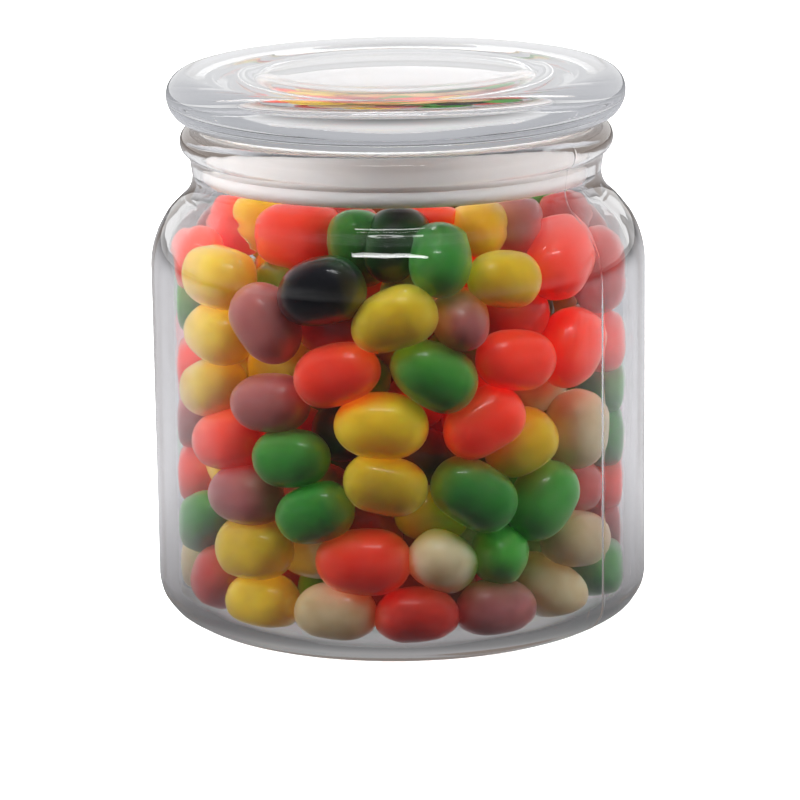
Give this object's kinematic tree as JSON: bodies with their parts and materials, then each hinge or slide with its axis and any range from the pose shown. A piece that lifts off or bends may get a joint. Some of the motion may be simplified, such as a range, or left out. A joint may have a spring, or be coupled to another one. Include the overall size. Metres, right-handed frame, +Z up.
{
  "type": "jar of jelly beans",
  "caption": "Round clear glass sweet jar with a thick flat glass lid and a plastic seal ring, filled to the neck with mixed fruit-coloured jelly beans.",
  "frame": {"origin": "on the surface the jar stands on, under the jar's axis", "axes": "+Z up along the jar's axis, through the lid; -Y is the side that faces the viewer"},
  "size_m": [0.108, 0.108, 0.12],
  "materials": {
    "jar_glass": "clear polished pressed glass",
    "lid_glass": "clear polished pressed glass",
    "seal_plastic": "soft milky translucent plastic",
    "jelly_bean": "polished sugar shell with a satin gloss"
  },
  "bodies": {
    "root": {"jar": "jar_glass", "lid": "lid_glass", "seal_ring": "seal_plastic", "jelly_beans": "jelly_bean"}
  },
  "joints": []
}
